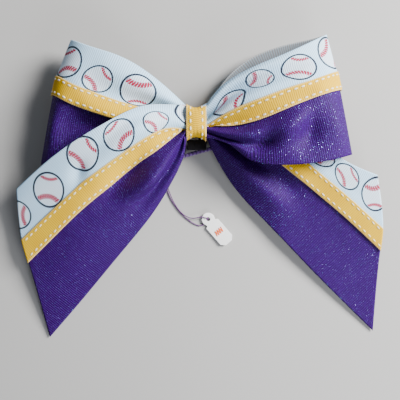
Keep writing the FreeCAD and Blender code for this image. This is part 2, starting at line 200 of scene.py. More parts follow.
# Printed balls: length along, place across, radius, how much one direction is squashed and
# which way that is, and the way to the thicker seam (both in degrees from along to across)
BALLS = {
    "left_tail": (
        (-5.4, 52.0, 11.4, 1, 0, 90), (16.1, 44.2, 7.1, 1, 0, -31),
        (35.4, 47.0, 9.1, 0.86, 23, -107), (54.8, 49.3, 9.7, 0.82, 39, -5),
        (80.3, 46.4, 9.2, 0.86, 48, -42), (102.0, 47.8, 7.2, 1, 0, -135)),
    "right_tail": (
        (6.0, 47.0, 8.4, 1, 0, 20), (24.5, 48.0, 7.1, 1, 0, 100), (43.0, 46.5, 8.5, 1, 0, -60),
        (60.6, 48.6, 8.3, 1, 0, -22), (77.5, 48.1, 8.6, 0.80, 38, -125),
        (94.5, 48.8, 8.7, 0.82, 34, 127)),
    "left_loop_front": (
        (5.0, 42.0, 6.8, 1, 0, 20), (25.6, 46.4, 8.8, 0.90, 73, 73),
        (45.3, 44.4, 7.5, 0.81, 68, -52), (63.2, 46.2, 8.3, 1, 0, -117)),
    "left_loop_back": (
        (-8.9, 46.2, 8.4, 1, 0, -117), (10.5, 48.0, 8.6, 1, 0, 15), (28.0, 46.0, 7.2, 1, 0, 140),
        (47.0, 47.5, 8.6, 1, 0, -70)),
    "right_loop_front": (
        (12.6, 43.4, 9.8, 0.71, 90, 142), (30.4, 48.0, 7.1, 0.78, 64, 148),
        (49.0, 46.7, 8.8, 0.84, 70, -110), (69.4, 48.0, 8.6, 1, 0, 128)),
    "right_loop_back": (
        (-5.4, 48.0, 8.6, 1, 0, 128), (13.0, 46.5, 7.2, 1, 0, 30), (31.5, 48.0, 8.6, 1, 0, -100),
        (50.0, 46.5, 8.6, 1, 0, 75)),
}


# ---- smooth curves and surfaces

def smooth(x):
    x = np.clip(x, 0.0, 1.0)
    return x * x * (3.0 - 2.0 * x)


def spline(knots, values, at):
    """A natural cubic spline through values at knots, read at many places."""
    knots = np.asarray(knots, float)
    values = np.asarray(values, float)
    gaps = np.diff(knots)
    count = len(knots)
    left = np.zeros((count, count))
    right = np.zeros((count,) + values.shape[1:])
    left[0, 0] = left[-1, -1] = 1.0
    for i in range(1, count - 1):
        left[i, i - 1] = gaps[i - 1]
        left[i, i] = 2.0 * (gaps[i - 1] + gaps[i])
        left[i, i + 1] = gaps[i]
        right[i] = 6.0 * ((values[i + 1] - values[i]) / gaps[i] - (values[i] - values[i - 1]) / gaps[i - 1])
    curve = np.linalg.solve(left, right.reshape(count, -1)).reshape(right.shape)
    at = np.asarray(at, float)
    cell = np.clip(np.searchsorted(knots, at) - 1, 0, count - 2)
    shape = (-1,) + (1,) * (values.ndim - 1)
    gap = gaps[cell].reshape(shape)
    a = ((knots[cell + 1] - at).reshape(shape)) / gap
    b = 1.0 - a
    bend = ((a ** 3 - a) * curve[cell] + (b ** 3 - b) * curve[cell + 1]) * gap ** 2 / 6.0
    return a * values[cell] + b * values[cell + 1] + bend


def pleat_depth(strip, outward, shape):
    """How deep the pleats of each row are, found by halving, evened out and eased at the knot."""
    low = np.zeros(len(strip))
    high = np.full(len(strip), DEEPEST_PLEAT)
    for _ in range(PLEAT_HALVINGS):
        depth = 0.5 * (low + high)
        folded = strip + outward * (shape * depth[:, None])[..., None]
        width = np.linalg.norm(np.diff(folded, axis=1), axis=2).sum(axis=1)
        short = width < PLEAT_FILL * STRIP_WIDTH
        low = np.where(short, depth, low)
        high = np.where(short, high, depth)
    depth = 0.5 * (low + high)
    near = np.arange(-PLEAT_SOFT_ROWS, PLEAT_SOFT_ROWS + 1)
    soft = np.exp(-0.5 * (near / PLEAT_SOFT_SPREAD) ** 2)
    depth = np.convolve(np.pad(depth, PLEAT_SOFT_ROWS, mode="edge"), soft / soft.sum(), mode="valid")
    from_knot = np.abs(strip[..., 0]).min(axis=1) - KNOT_MOUTH
    return depth * (0.5 + 0.5 * smooth(from_knot / PLEAT_EASE))


def middle_surface(name, section, along, across):
    """The strip's middle surface on a grid. Near the knot it is pinched, and the width it
    loses there goes into pleats, as deep as that width needs."""
    borders = [spline(np.linspace(0, 1, len(line)), line, along) for line in section]
    full = np.linspace(0.0, STRIP_WIDTH, PLEAT_COLUMNS)
    strip = spline(BORDERS, np.stack(borders), full).transpose(1, 0, 2)
    outward = grid_normals(strip) * (-1.0 if name.startswith("left") else 1.0)
    shape = pleat_shape(name, along, full)
    height = shape * pleat_depth(strip, outward, shape)[:, None]
    for u, v, half_u, half_v, tall in DENTS.get(name, ()):
        reach = np.exp(-((along - u) / half_u) ** 2)
        height = height + tall * np.outer(reach, np.exp(-((full - v) / half_v) ** 2))
    folded = (strip + outward * height[..., None]).transpose(1, 0, 2)
    folded[..., 2] = np.maximum(folded[..., 2], LOWEST)
    return spline(full, folded, across).transpose(1, 0, 2)


def pleat_shape(name, along, across):
    """Ridges above and valleys below, named by where they lie across the strip."""
    ends = (0.0, 1.0) if name.endswith("loop") else (0.0,)
    shape = np.zeros((len(along), len(across)))
    for end in ends:
        places, heights = zip(*(PLEATS[name] if end == 0.0 else BACK_PLEATS))
        near = 1.0 - smooth(np.abs(along - end) / 0.5) if len(ends) > 1 else np.ones(len(along))
        shape += np.outer(near, spline(places, heights, across))
    return shape


def tucked(grid, at_end, reach):
    """The strip carried on into the knot, where the wrap squeezes its pleats flatter."""
    edge = grid[-1] if at_end else grid[0]
    rows = []
    level = edge[:, 2].mean()
    for step in np.linspace(0.0, 1.0, TUCK_ROWS + 1)[1:]:
        squeeze = float(smooth(step))
        row = edge.copy()
        row[:, 0] *= 1.0 - reach * step
        row[:, 1] = WRAP_SHIFT + (edge[:, 1] - WRAP_SHIFT) * (1.0 - TUCK_NARROWS * squeeze)
        row[:, 2] = level + (edge[:, 2] - level) * (1.0 - TUCK_FLATTENS * squeeze)
        rows.append(row)
    if at_end:
        return np.concatenate([grid, np.stack(rows)])
    return np.concatenate([np.stack(rows[::-1]), grid])


def grid_normals(grid):
    down = np.gradient(grid, axis=0)
    over = np.gradient(grid, axis=1)
    normal = np.cross(down, over)
    return normal / np.maximum(np.linalg.norm(normal, axis=2, keepdims=True), 1e-9)


def layer_offset(ribbon, across):
    """How far a ribbon's middle lies above the strip's, towards the printed side."""
    if ribbon == "purple":
        return np.zeros_like(across)
    if ribbon == "yellow":
        return np.full_like(across, 2.0 * LAYER)
    return LAYER * (1.0 - smooth((across - PURPLE_WIDTH) / LAP_RAMP))


def lengths_along(grid):
    steps = np.linalg.norm(np.diff(grid, axis=0), axis=2)
    return np.vstack([np.zeros(grid.shape[1]), np.cumsum(steps, axis=0)])


def square_to_edges(grid, reference):
    """Length along the ribbon at each point, with lines of equal length square to its edges."""
    total = lengths_along(grid)
    tangent = np.gradient(grid, axis=0)
    tangent /= np.maximum(np.linalg.norm(tangent, axis=2, keepdims=True), 1e-9)
    result = np.zeros(grid.shape[:2])
    result[:, reference] = total[:, reference]
    for step in (1, -1):
        j = reference
        while 0 <= j + step < grid.shape[1]:
            move = grid[:, j + step] - grid[:, j]
            slope = 0.5 * (tangent[:, j] + tangent[:, j + step])
            result[:, j + step] = result[:, j] + np.einsum("ij,ij->i", move, slope)
            j += step
    return result


# ---- meshes

def link(name, data):
    """A new object with this data, in the scene."""
    obj = bpy.data.objects.new(name, data)
    bpy.context.scene.collection.objects.link(obj)
    return obj


def from_bmesh(name, mesh, material):
    """A new object that takes over an edited mesh."""
    data = bpy.data.meshes.new(name)
    mesh.to_mesh(data)
    mesh.free()
    data.materials.append(material)
    return link(name, data)


class Builder:
    """Collects the vertices, faces and cloth coordinates of one piece. The coordinates are
    length along the ribbon and distance across it."""

    def __init__(self):
        self.verts = []
        self.coords = []
        self.faces = []
        self.slots = []

    def quads(self, index, slot, flip):
        """The faces between the rows and columns of a grid of vertex numbers."""
        corners = (index[:-1, :-1], index[:-1, 1:], index[1:, 1:], index[1:, :-1])
        faces = np.stack(corners, axis=2).reshape(-1, 4)
        self.faces.extend((faces[:, ::-1] if flip else faces).tolist())
        self.slots.extend([slot] * len(faces))

    def grid(self, points, coords, slot, flip):
        index = len(self.verts) + np.arange(points[..., 0].size).reshape(points.shape[:2])
        self.verts.extend(points.reshape(-1, 3) * MM)
        self.coords.extend(coords.reshape(-1, 2) * MM)
        self.quads(index, slot, flip)
        return index

    def build(self, name, materials):
        mesh = bpy.data.meshes.new(name)
        mesh.from_pydata([tuple(v) for v in self.verts], [], self.faces)
        for material in materials:
            mesh.materials.append(material)
        mesh.polygons.foreach_set("material_index", self.slots)
        mesh.polygons.foreach_set("use_smooth", [True] * len(self.faces))
        corners = np.zeros(len(mesh.loops), dtype=np.int32)
        mesh.loops.foreach_get("vertex_index", corners)
        layer = mesh.uv_layers.new(name="cloth")
        layer.data.foreach_set("uv", np.asarray(self.coords, float)[corners].ravel())
        mesh.update()
        self.close(mesh)
        return link(name, mesh)

    @staticmethod
    def close(data):
        """Joins the borders that meet, and turns every face outwards."""
        mesh = bmesh.new()
        mesh.from_mesh(data)
        bmesh.ops.remove_doubles(mesh, verts=mesh.verts, dist=SAME_POINT)
        bmesh.ops.recalc_face_normals(mesh, faces=mesh.faces)
        mesh.to_mesh(data)
        mesh.free()


def cloth_skin(builder, upper, lower, coords):
    """A thin closed cloth between two matching grids."""
    top = builder.grid(upper, coords, FACE, False)
    low = builder.grid(lower, coords, BACK, True)
    edges = ((np.s_[0], True), (np.s_[-1], False), (np.s_[:, 0], False), (np.s_[:, -1], True))
    for edge, flip in edges:
        builder.quads(np.stack([top[edge], low[edge]]), BACK, flip)


def read_at(places, reached, values):
    """A row of points or directions, read between the rows of the grid."""
    return np.stack([np.interp(places, reached, values[:, k]) for k in range(3)], axis=1)


def add_stitches(builder, surface, normal, length, across, v_line, first):
    """A row of saddle stitches lying on a ribbon, along one line of it. The first of them starts
    this far from the ribbon's end."""
    column = int(np.argmin(np.abs(across - v_line)))
    line = surface[:, column]
    up = normal[:, column]
    side = surface[:, min(column + 1, surface.shape[1] - 1)] - surface[:, column]
    side = side / np.maximum(np.linalg.norm(side, axis=1, keepdims=True), 1e-9)
    reached = length[:, column]
    order = np.argsort(reached)
    start = reached.min() + first
    turns = np.linspace(0, 2 * math.pi, 7)
    while start + 2 * STITCH_HALF < reached.max():
        places = start + STITCH_HALF * STITCH_PLACES
        centre, tall, wide = (read_at(places, reached[order], values[order]) for values in (line, up, side))
        rings = []
        for turn in turns:
            rings.append(centre + wide * (STITCH_WIDE * STITCH_FATNESS * math.cos(turn))[:, None]
                         + tall * (STITCH_RISE + STITCH_TALL * STITCH_FATNESS * math.sin(turn))[:, None])
        tube = np.stack(rings, axis=1)
        coords = np.zeros(tube.shape[:2] + (2,))
        coords[..., 0] = places[:, None]
        coords[..., 1] = v_line + np.linspace(0, 1, len(turns))[None, :]
        builder.grid(tube, coords, STITCH, False)
        start += STITCH_PITCH


def add_print(obj, stem):
    """A second set of coordinates: the place on the nearest ball, in radii, with the thicker
    seam on its +X side. Each face belongs to one ball."""
    mesh = obj.data
    count = len(mesh.loops)
    cloth = np.zeros(2 * count)
    mesh.uv_layers["cloth"].data.foreach_get("uv", cloth)
    along, across = cloth.reshape(-1, 2).T / MM
    sizes = np.zeros(len(mesh.polygons), dtype=np.int32)
    mesh.polygons.foreach_get("loop_total", sizes)
    owner = np.repeat(np.arange(len(sizes)), sizes)
    middle = (np.bincount(owner, along) / sizes)[owner]
    balls = np.array(BALLS[stem], float)
    nearest = np.argmin(np.abs(middle[:, None] - balls[:, 0]) / balls[:, 2], axis=1)
    place, height, radius, squash, lean, turn = balls[nearest].T
    lean = np.radians(lean)
    turn = np.radians(turn)
    x = (along - place) / radius
    y = (across - height) / radius
    extra = (x * np.cos(lean) + y * np.sin(lean)) * (1.0 / squash - 1.0)
    x = x + extra * np.cos(lean)
    y = y + extra * np.sin(lean)
    turned = np.stack([x * np.cos(turn) + y * np.sin(turn), y * np.cos(turn) - x * np.sin(turn)], axis=1)
    mesh.uv_layers.new(name="print").data.foreach_set("uv", turned.ravel())


def ribbon_piece(name, section_name, section, ribbon, u0, u1, materials):
    """One ribbon of one section as a thin cloth, with its stitches if it is the yellow one."""
    rows, tuck = (LOOP_ROWS, LOOP_TUCK) if section_name.endswith("loop") else (TAIL_ROWS, TAIL_TUCK)
    v0, v1 = SPANS[ribbon]
    columns = max(12, int((v1 - v0) / COLUMN_WIDTH))
    across = np.linspace(v0, v1, columns)
    middle = middle_surface(section_name, section, np.linspace(u0, u1, rows), across)
    middle = tucked(middle, u0 > 0.0, tuck)
    start = TUCK_ROWS if u0 == 0.0 else 0
    normal = grid_normals(middle)
    if section_name.startswith("left"):
        normal = -normal
    raised = middle + normal * layer_offset(ribbon, across)[None, :, None]
    length = square_to_edges(raised, columns // 2)
    length -= length[start, columns // 2]
    coords = np.stack([length, np.broadcast_to(across, length.shape)], axis=2)
    builder = Builder()
    half = 0.5 * CLOTH
    cloth_skin(builder, raised + normal * half, raised - normal * half, coords)
    if ribbon == "yellow":
        top = raised + normal * half
        for v_line in (v0 + STITCH_INSET, v1 - STITCH_INSET):
            add_stitches(builder, top, normal, length, across, v_line, first=0.8)
    piece = builder.build(name, materials)
    if ribbon == "white":
        add_print(piece, name.replace("_white_cloth", ""))
    piece["flat_length"] = float(lengths_along(raised)[-1].mean())
    return piece


# ---- materials

SPECULAR = "Specular IOR Level"

# Spacing of the strokes of a printed seam, in radii of its ball, and how far they slant
STROKE_PITCH = 0.155
STROKE_SLANT = 19.0


class Graph:
    """A short way to write a material's nodes."""

    def __init__(self, name):
        self.material = bpy.data.materials.new(name)
        self.material.use_nodes = True
        self.tree = self.material.node_tree
        self.shader = self.tree.nodes["Principled BSDF"]

    def feed(self, node, sockets):
        """Links or sets each socket, named by its name or number."""
        for socket, value in sockets.items():
            if hasattr(value, "is_linked"):
                self.tree.links.new(value, node.inputs[socket])
            else:
                node.inputs[socket].default_value = value
        return node

    def node(self, kind, sockets, **settings):
        made = self.tree.nodes.new(kind)
        for key, value in settings.items():
            setattr(made, key, value)
        return self.feed(made, sockets)

    def math(self, operation, *values):
        return self.node("ShaderNodeMath", dict(enumerate(values)), operation=operation).outputs[0]

    def vector(self, operation, a, b):
        sockets = {0: a, "Scale" if operation == "SCALE" else 1: b}
        return self.node("ShaderNodeVectorMath", sockets, operation=operation).outputs[0]

    def times(self, a, b):
        return self.math("MULTIPLY", a, b)

    def plus(self, a, b):
        return self.math("ADD", a, b)

    def sine(self, angle):
        return self.math("SINE", angle)

    def size_of(self, x, y):
        return self.math("SQRT", self.plus(self.times(x, x), self.times(y, y)))

    def ramp(self, value, low, high, out_low=0.0, out_high=1.0):
        ends = {"Value": value, "From Min": low, "From Max": high, "To Min": out_low, "To Max": out_high}
        return self.node("ShaderNodeMapRange", ends, interpolation_type="SMOOTHSTEP").outputs["Result"]

    def mix(self, amount, a, b):
        return self.node("ShaderNodeMix", {0: amount, 6: a, 7: b}, data_type="RGBA").outputs[2]

    def noise(self, where, scale, detail=2.0, roughness=0.5):
        sockets = {"Vector": where, "Scale": scale, "Detail": detail, "Roughness": roughness}
        return self.node("ShaderNodeTexNoise", sockets).outputs["Fac"]

    def bump(self, height, strength, distance):
        sockets = {"Height": height, "Strength": strength, "Distance": distance}
        return self.node("ShaderNodeBump", sockets).outputs["Normal"]

    def place(self, x, y):
        return self.node("ShaderNodeCombineXYZ", {0: x, 1: y}).outputs[0]

    def in_object(self):
        return self.node("ShaderNodeTexCoord", {}).outputs["Object"]

    def read_map(self, name):
        uv = self.node("ShaderNodeUVMap", {}, uv_map=name).outputs["UV"]
        split = self.node("ShaderNodeSeparateXYZ", {0: uv})
        return split.outputs[0], split.outputs[1]

    def cloth(self):
        """Length along the ribbon and distance across it, in millimetres."""
        along, across = self.read_map("cloth")
        return self.times(along, 1.0 / MM), self.times(across, 1.0 / MM)

    def finish(self, color, roughness, more):
        self.feed(self.shader, {"Base Color": color, "Roughness": roughness})
        self.feed(self.shader, more)
        return self.material


def rgb(r, g, b):
    return (r, g, b, 1.0)


def rib_height(graph, along, across):
    """Grosgrain: ribs across the ribbon, slightly uneven, crossed by a finer warp."""
    wander = graph.noise(graph.place(graph.times(along, 0.3), graph.times(across, 0.12)), 1.0)
    shifted = graph.plus(along, graph.times(wander, 0.5))
    rib = graph.ramp(graph.sine(graph.times(shifted, 2.0 * math.pi / RIB_PITCH)), -1.0, 0.7)
    warp = graph.sine(graph.times(across, 2.0 * math.pi / WARP_PITCH))
    return graph.plus(rib, graph.times(warp, 0.08))


def selvedge(graph, across, v0, v1):
    """1 on the ribbon's two woven edges."""
    low = graph.ramp(across, v0 + 0.25, v0 + 0.7, 1.0, 0.0)
    high = graph.ramp(across, v1 - 0.7, v1 - 0.25)
    return graph.math("MAXIMUM", low, high)


def flecks(graph, along, across, scale, share, size):
    """Scattered glitter flakes: how much of one is here, three random numbers for it, and the
    same three as a direction."""
    where = graph.place(along, across)
    cells = graph.node("ShaderNodeTexVoronoi", {"Vector": where, "Scale": scale}, feature="F1")
    dice = graph.node("ShaderNodeSeparateColor", {0: cells.outputs["Color"]})
    near = graph.ramp(cells.outputs["Distance"], size, size + 0.14, 1.0, 0.0)
    drift = graph.times(graph.noise(where, 0.08), 0.3)
    wanted = graph.ramp(graph.plus(dice.outputs[0], drift), 1.13 - share, 1.19 - share)
    return graph.times(near, wanted), dice, cells.outputs["Color"]


def tilted(graph, normal, amount, direction):
    """The normal leaned by up to half a unit each way, towards a random direction."""
    lean = graph.vector("SUBTRACT", direction, (0.5, 0.5, 0.5))
    lean = graph.vector("SCALE", lean, amount)
    return graph.vector("NORMALIZE", graph.vector("ADD", normal, lean), (0.0, 0.0, 0.0))


def glitter_ribbon():
    """Dark purple cloth with painted shade in the grooves between its ribs, a dust of small violet flakes and
    fewer, bright, tilted blue ones, whose bright colour is partly their own and partly painted glint.
    """
    graph = Graph("purple_glitter_grosgrain")
    along, across = graph.cloth()
    rib = rib_height(graph, along, across)
    cloudy = graph.noise(graph.place(along, across), 0.12, 3.0)
    crest = graph.mix(cloudy, rgb(0.028, 0.0, 0.100), rgb(0.048, 0.0, 0.152))
    # painted shade: the grooves between the ribs are darker than the crests
    body = graph.mix(graph.times(rib, 0.75), rgb(0.012, 0.0, 0.040), crest)
    dust, dice, _ = flecks(graph, along, across, scale=3.1, share=0.45, size=0.22)
    faint = graph.times(dust, graph.ramp(dice.outputs[1], 0.0, 1.0, 0.1, 0.55))
    color = graph.mix(faint, body, rgb(0.17, 0.04, 0.70))
    spark, dice, direction = flecks(graph, along, across, scale=2.8, share=0.30, size=0.15)
    # the bright blue flake colour is partly the flakes' own and partly painted glint
    flake_and_glint_color = graph.mix(dice.outputs[1], rgb(0.10, 0.36, 0.80), rgb(0.36, 0.34, 0.85))
    bright = graph.times(spark, graph.ramp(dice.outputs[2], 0.1, 0.9, 0.25, 1.0))
    color = graph.mix(bright, color, flake_and_glint_color)
    shine = graph.math("MAXIMUM", spark, graph.times(dust, 0.35))
    rough = graph.ramp(shine, 0.0, 1.0, 0.62, 0.28)
    normal = tilted(graph, graph.bump(rib, 0.5, WEAVE_DEPTH), spark, direction)
    return graph.finish(color, rough, {"Metallic": graph.times(shine, 0.6), "Normal": normal, SPECULAR: 0.12})


def plain_ribbon(name, dark, light, ribbon):
    """Cloth of one colour, with painted brownish shade in the grooves between its ribs, and paler selvedges.
    """
    graph = Graph(name)
    along, across = graph.cloth()
    rib = rib_height(graph, along, across)
    body = graph.mix(graph.noise(graph.place(along, across), 0.1, 3.0), dark, light)
    # painted shade: the grooves between the ribs are darkened towards brown
    groove = graph.mix(0.42, body, rgb(0.16, 0.05, 0.0))
    body = graph.mix(graph.times(rib, 0.75), groove, body)
    edge = selvedge(graph, across, *SPANS[ribbon])
    color = graph.mix(graph.times(edge, 0.3), body, graph.mix(0.5, body, rgb(1, 1, 1)))
    height = graph.plus(rib, graph.times(edge, 0.8))
    return graph.finish(color, 0.78, {"Normal": graph.bump(height, 0.5, WEAVE_DEPTH), SPECULAR: 0.12})


def seam_arc(graph, x, y, nearest, radius, half, side):
    """One stitched seam of a ball: a row of slanting strokes along an arc. Lengths are in radii
    of the ball; side is 1 for the arc on the +X side and -1 for the other."""
    dx = graph.math("SUBTRACT", x, side * (nearest + radius))
    off = graph.math("SUBTRACT", graph.size_of(dx, y), radius)
    from_line = graph.math("ABSOLUTE", off)
    angle = graph.math("ARCTAN2", y, graph.times(dx, -side))
    strokes = 2.0 * math.pi * radius / STROKE_PITCH
    lean = graph.plus(graph.times(angle, strokes), graph.times(off, STROKE_SLANT))
    stroke = graph.ramp(graph.sine(lean), -0.95, -0.55)
    inside = graph.ramp(from_line, half - 0.018, half + 0.018, 1.0, 0.0)
    thread = graph.ramp(from_line, 0.025, 0.045, 1.0, 0.0)
    return graph.math("MAXIMUM", graph.times(stroke, inside), graph.times(thread, 0.8))


def ball_ribbon():
    """White cloth printed with the outlines and two stitched seams of plain balls."""
    graph = Graph("white_printed_grosgrain")
    along, across = graph.cloth()
    where = graph.place(along, across)
    x, y = graph.read_map("print")
    away = graph.size_of(x, y)
    from_outline = graph.math("ABSOLUTE", graph.math("SUBTRACT", away, 0.95))
    outline = graph.ramp(from_outline, 0.046, 0.066, 1.0, 0.0)
    inside = graph.ramp(away, 0.85, 0.89, 1.0, 0.0)
    thick = seam_arc(graph, x, y, 0.37, 1.05, 0.145, 1.0)
    thin = seam_arc(graph, x, y, 0.58, 1.0, 0.095, -1.0)
    seams = graph.times(graph.math("MAXIMUM", thick, thin), inside)
    rib = rib_height(graph, along, across)
    white = graph.mix(graph.noise(where, 0.15, 2.0), rgb(0.46, 0.74, 1.0), rgb(0.57, 0.81, 1.0))
    white = graph.mix(graph.times(inside, 0.5), white, rgb(0.90, 0.91, 0.93))
    # painted shade: the grooves between the ribs are darkened towards grey-blue
    white = graph.mix(graph.times(rib, 0.9), graph.mix(0.55, white, rgb(0.20, 0.28, 0.42)), white)
    worn = graph.ramp(graph.noise(where, 2.2, 2.0), 0.30, 0.48, 0.8, 1.0)
    color = graph.mix(graph.times(seams, worn), white, rgb(0.34, 0.0, 0.035))
    color = graph.mix(graph.times(outline, worn), color, rgb(0.004, 0.007, 0.020))
    edge = selvedge(graph, across, *SPANS["white"])
    height = graph.plus(rib, graph.times(edge, 0.9))
    return graph.finish(color, 0.76, {"Normal": graph.bump(height, 0.5, WEAVE_DEPTH), SPECULAR: 0.25})


def thread_material(name, dark, light, twist):
    graph = Graph(name)
    fibres = graph.noise(graph.in_object(), twist, 3.0, 0.6)
    color = graph.mix(graph.ramp(fibres, 0.3, 0.7), dark, light)
    return graph.finish(color, 0.7, {"Normal": graph.bump(fibres, 0.5, 0.0001), "Sheen Weight": 0.3})


def braided_elastic():
    graph = Graph("braided_elastic")
    along, across = graph.cloth()
    forward = graph.times(along, BRAID_TURNS)
    round_it = graph.times(across, 6.0)
    up = graph.sine(graph.plus(forward, round_it))
    down = graph.sine(graph.math("SUBTRACT", forward, round_it))
    braid = graph.math("MAXIMUM", up, down)
    fuzz = graph.noise(graph.place(along, across), 3.0, 3.0, 0.7)
    # painted shade: the colour is darker between the braid's strands and lighter on their crests
    color = graph.mix(graph.ramp(braid, 0.0, 1.0), rgb(0.030, 0.006, 0.075), rgb(0.110, 0.030, 0.230))
    color = graph.mix(graph.times(fuzz, 0.4), color, rgb(0.11, 0.06, 0.2))
    normal = graph.bump(graph.plus(braid, graph.times(fuzz, 0.6)), 0.7, 0.0003)
    return graph.finish(color, 0.8, {"Normal": normal, "Sheen Weight": 0.4, "Sheen Roughness": 0.5})


# near-black nylon, darkened also as painted shade for the dark patch below the knot
def tie_plastic_painted_shade():
    graph = Graph("black_nylon_painted_shade")
    where = graph.in_object()
    grain = graph.noise(where, 2600.0, 2.0)
    color = graph.mix(grain, rgb(0.002, 0.002, 0.003), rgb(0.006, 0.005, 0.007))
    rough = graph.ramp(graph.noise(where, 500.0, 3.0), 0.3, 0.7, 0.50, 0.72)
    return graph.finish(color, rough, {"Normal": graph.bump(grain, 0.25, 0.00005), SPECULAR: 0.1})


def tag_card():
    graph = Graph("tag_card")
    pulp = graph.noise(graph.in_object(), 900.0, 4.0, 0.65)
    color = graph.mix(pulp, rgb(0.82, 0.82, 0.84), rgb(0.92, 0.92, 0.93))
    return graph.finish(color, 0.6, {"Normal": graph.bump(pulp, 0.3, 0.00006)})


def pen_ink():
    graph = Graph("pen_mark")
    flow = graph.noise(graph.in_object(), 1500.0, 2.0)
    color = graph.mix(flow, rgb(0.72, 0.09, 0.005), rgb(0.88, 0.17, 0.02))
    return graph.finish(color, 0.5, {"Normal": graph.bump(flow, 0.1, 0.00002)})


def floor_material():
    graph = Graph("plain_floor")
    color = graph.mix(graph.noise(graph.in_object(), 3.0), rgb(0.37, 0.365, 0.36), rgb(0.41, 0.405, 0.40))
    return graph.finish(color, 0.85, {})


# ---- knot, elastic, tie and tag

# The wrap: from and to along X, how it is waisted and creased, and its section as the shares
# of its half width and height reached at each part of a turn
WRAP_X0 = -5.1
WRAP_X1 = 4.8
WRAP_INSET = 0.1
WRAP_BASE = 0.54
WRAP_HEIGHT = 16.25
WRAP_DIP = 0.8
WRAP_HALF_WIDTH = 6.7
WRAP_FLARE = 0.32
WRAP_SHIFT = 0.5
WRAP_CLOTH = 0.48
WRAP_CREASE = 0.08
WRAP_SWAY = 0.18
WRAP_ROWS = 161
WRAP_COLUMNS = 25
WRAP_TURNS = (0, 0.10, 0.25, 0.40, 0.5, 0.6, 0.75, 0.9, 1.0)
WRAP_SIDES = (0.0, 0.62, 1.0, 0.78, 0.0, -0.78, -1.0, -0.62, 0.0)
WRAP_HEIGHTS = (0.0, 0.0, 0.44, 0.93, 1.0, 0.93, 0.44, 0.0, 0.0)

# The pinched layers inside the wrap
GATHER_HALF = 5.0
GATHER_WAIST = 4.6
GATHER_FLARE = 2.4
GATHER_RIPPLE = 0.6
GATHER_WAVES = 2.5

# The elastic: a braided ring past these corners. Each is rounded over CORNER_REACH, or over
# CORNER_SHARE of the shorter side where that is less
ELASTIC_R = 1.1
ELASTIC_Z = 2.3
ELASTIC_PATH = ((-27, 1.0), (37, 1.0), (36, -3.5), (-27, -21.1), (-36, -19), (-37, -8))
ELASTIC_RINGS = 420
ELASTIC_SIDES = 20
CORNER_REACH = 6.5
CORNER_SHARE = 0.45
BRAID_TURNS = 3.2
BRAID_DEPTH = 0.07

# The cinch tie: centre, size and taper of its head, neck and pawl, and its band. The head is near-black and
# wide so that it fills the dark patch below the knot, partly as painted shade
TIE_BLOCKS = (
    ((0.1, -10.1, 6.0), (9.8, 4.9, 3.9), 0.95),
    ((2.0, -8.2, 6.4), (2.4, 4.4, 2.0), 1.0),
    ((0.5, -10.1, 7.9), (3.8, 2.2, 0.4), 0.8),
)
BAND_X = (0.3, 3.7, 3.7, 0.3)
BAND_SHARES = (1.0, 1.0, 0.86, 0.86)
BAND_Z = 10.0
BAND_HALF_WIDTH = 6.1
BAND_HALF_HEIGHT = 6.0
BAND_STEPS = 40

# The tag, from the middle of its hole towards its foot, and the pen mark on it
TAG_HOLE = (5.9, -47.6)
TAG_TURN = -48.8
TAG_Z = 0.75
TAG_HOLE_R = 1.05
TAG_HEAD_R = 3.3
TAG_HALF = 3.9
TAG_FOOT = 16.0
TAG_CUT = 1.9
TAG_THICK = 0.34
MARK_X = 8.4
MARK_REACH = 1.3
MARK_SPAN = 4.4
MARK_SWINGS = 7
MARK_POINTS = 41

# The thread, from the elastic through the tag's hole and back
THREAD_THICK = 0.5
THREAD_ROUTE = ((-18.6, -16.6, 1.2), (-18.2, -17.6, 3.8), (-17.6, -20.4, 3.4), (-16.4, -25.5, 0.9),
                (-14.4, -32.9, 0.6), (-11.9, -39.0, 0.6), (-8.1, -44.6, 0.7), (-3.4, -47.3, 0.9),
                (0.4, -46.9, 1.6), (2.6, -46.3, 1.8), (5.8, -47.3, 1.8), (5.8, -47.3, 0.4),
                (3.6, -50.6, 0.35), (1.2, -51.3, 0.35), (-3.6, -48.9, 0.35), (-8.9, -44.1, 0.35),
                (-12.9, -38.5, 0.35), (-15.5, -32.2, 0.35), (-17.6, -24.8, 0.4), (-18.9, -20.6, 0.55),
                (-19.6, -17.4, 0.6))


def wrap_surface(turns, xs):
    """The wrap's middle surface: round the pinched strip, waisted and slightly creased."""
    middle = (WRAP_X0 + WRAP_X1) / 2.0
    half = (WRAP_X1 - WRAP_X0) / 2.0
    side_at = spline(WRAP_TURNS, WRAP_SIDES, turns)
    height_at = spline(WRAP_TURNS, WRAP_HEIGHTS, turns)
    points = np.zeros((len(turns), len(xs), 3))
    for j, x in enumerate(xs):
        away = (x - middle) / half
        waist = WRAP_HALF_WIDTH * (1.0 + WRAP_FLARE * away ** 2 + 0.02 * away)
        folds = np.sin(6 * math.pi * away + 3.0 * np.sin(2 * math.pi * turns))
        crease = WRAP_CREASE * folds * np.abs(side_at)
        sway = WRAP_SWAY * np.sin(4 * math.pi * turns + 0.7)
        points[:, j, 0] = x + sway * (1 - away ** 2)
        points[:, j, 1] = WRAP_SHIFT + side_at * (waist + crease)
        points[:, j, 2] = WRAP_BASE + height_at * (WRAP_HEIGHT - WRAP_DIP * away ** 2 + crease)
    points[..., 2] = np.maximum(points[..., 2], WRAP_BASE)
    return points


